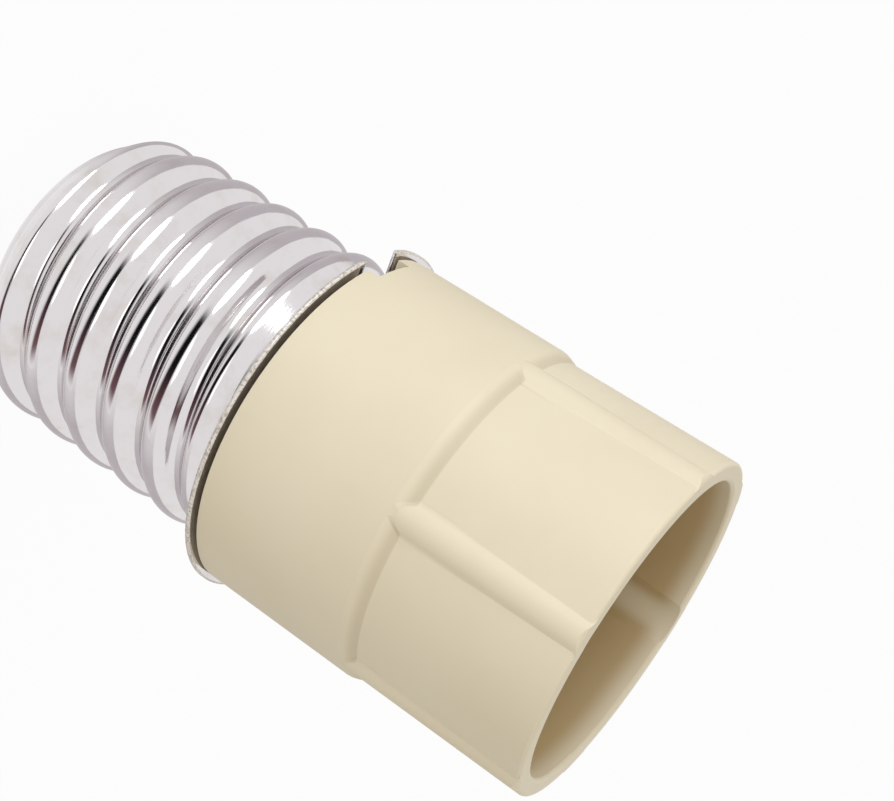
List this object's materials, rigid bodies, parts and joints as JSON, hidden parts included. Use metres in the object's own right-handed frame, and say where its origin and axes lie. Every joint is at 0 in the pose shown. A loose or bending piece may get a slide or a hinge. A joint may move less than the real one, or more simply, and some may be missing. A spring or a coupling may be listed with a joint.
{
  "type": "lamp socket adapter",
  "caption": "Lamp socket adapter: rolled nickel screw cap below, ribbed cream cup above with keyhole slots that lock a twist-in two-pin lamp.",
  "frame": {"origin": "tip of the centre contact, on the axis", "axes": "+Z along the axis from the screw cap to the open cup, +X towards one of the two face screws"},
  "size_m": [0.047, 0.047, 0.0931],
  "materials": {
    "cream_moulding": "satin moulded cream plastic",
    "core_moulding": "black moulded phenolic",
    "cap_insulator": "pale moulded insulator",
    "nickel_shell": "bright nickel plate on rolled brass",
    "nickel_button": "dull nickel plate",
    "plain_steel": "plain zinc-plated steel",
    "contact_brass": "bright formed brass",
    "tinned_terminal": "tinned, slightly dull",
    "black_screw": "black oxide, oiled",
    "lead_insulation": "matt silicone insulation",
    "glass_sleeving": "woven glass sleeving",
    "solder": "dull solder"
  },
  "bodies": {
    "root": {"housing": "cream_moulding", "core": "core_moulding", "nose": "cap_insulator", "screw_shell": "nickel_shell", "centre_contact": "nickel_button", "contact_washer": "plain_steel", "live_contact": "contact_brass", "neutral_contact": "contact_brass", "live_spring": "plain_steel", "neutral_spring": "plain_steel", "live_terminal": "tinned_terminal", "neutral_terminal": "tinned_terminal", "contact_screws": "plain_steel", "face_screws": "black_screw", "lock_washers": "black_screw", "core_inserts": "contact_brass", "live_wire": "lead_insulation", "neutral_wire": "lead_insulation", "live_sleeve": "glass_sleeving", "live_joint": "solder", "neutral_joint": "solder"}
  },
  "joints": []
}
